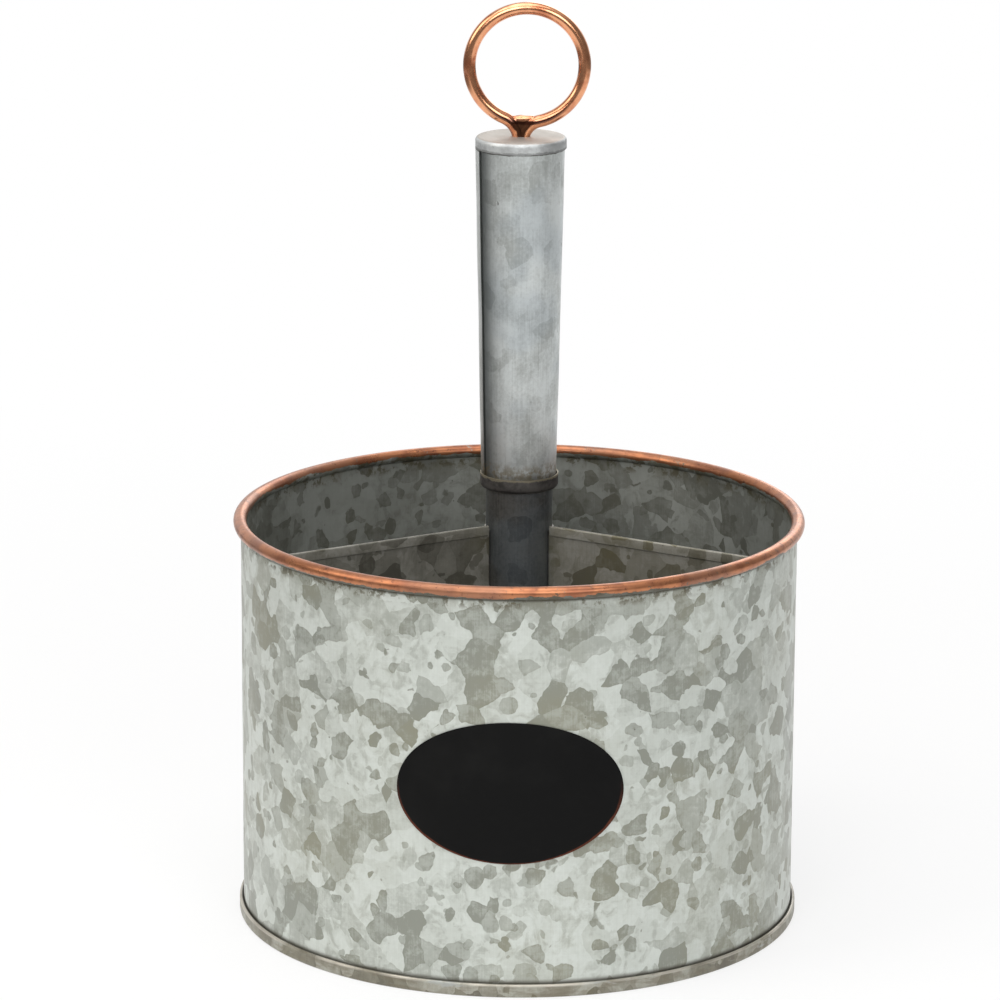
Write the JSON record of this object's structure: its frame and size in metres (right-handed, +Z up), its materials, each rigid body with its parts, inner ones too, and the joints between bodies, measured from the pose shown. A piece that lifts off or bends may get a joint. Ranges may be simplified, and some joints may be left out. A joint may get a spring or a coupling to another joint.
{
  "type": "storage caddy",
  "caption": "Round galvanised sheet-metal caddy with open compartments, a tapered tube handle in the middle, a copper carrying ring and a bare oval label.",
  "frame": {"origin": "middle of the round foot, on the surface that the caddy stands on", "axes": "+Z up along the handle, label facing -Y, +X to the right of someone who faces the label"},
  "size_m": [0.1786, 0.1786, 0.2897],
  "materials": {
    "galvanised_sheet": "aged galvanised, with large mottled crystals; copper paint on the outside of the rim",
    "cap_sheet": "zinc plated, satin",
    "copper_plate": "polished copper plate over steel wire",
    "zinc_steel": "zinc plated fasteners",
    "steel_wire": "plain drawn wire",
    "chalkboard": "matt black chalkboard paint on a thin plate with a reddish-brown edge"
  },
  "bodies": {
    "root": {"base_nut": "zinc_steel", "base_plate": "galvanised_sheet", "base_washer": "zinc_steel", "bucket_wall": "galvanised_sheet", "center_post": "galvanised_sheet", "divider_back": "galvanised_sheet", "divider_left": "galvanised_sheet", "divider_right": "galvanised_sheet", "handle_bottom_cap": "cap_sheet", "handle_ring": "copper_plate", "handle_top_cap": "cap_sheet", "handle_tube": "galvanised_sheet", "label_plate": "chalkboard", "rim_wire": "steel_wire", "tie_rod": "zinc_steel"}
  },
  "joints": []
}
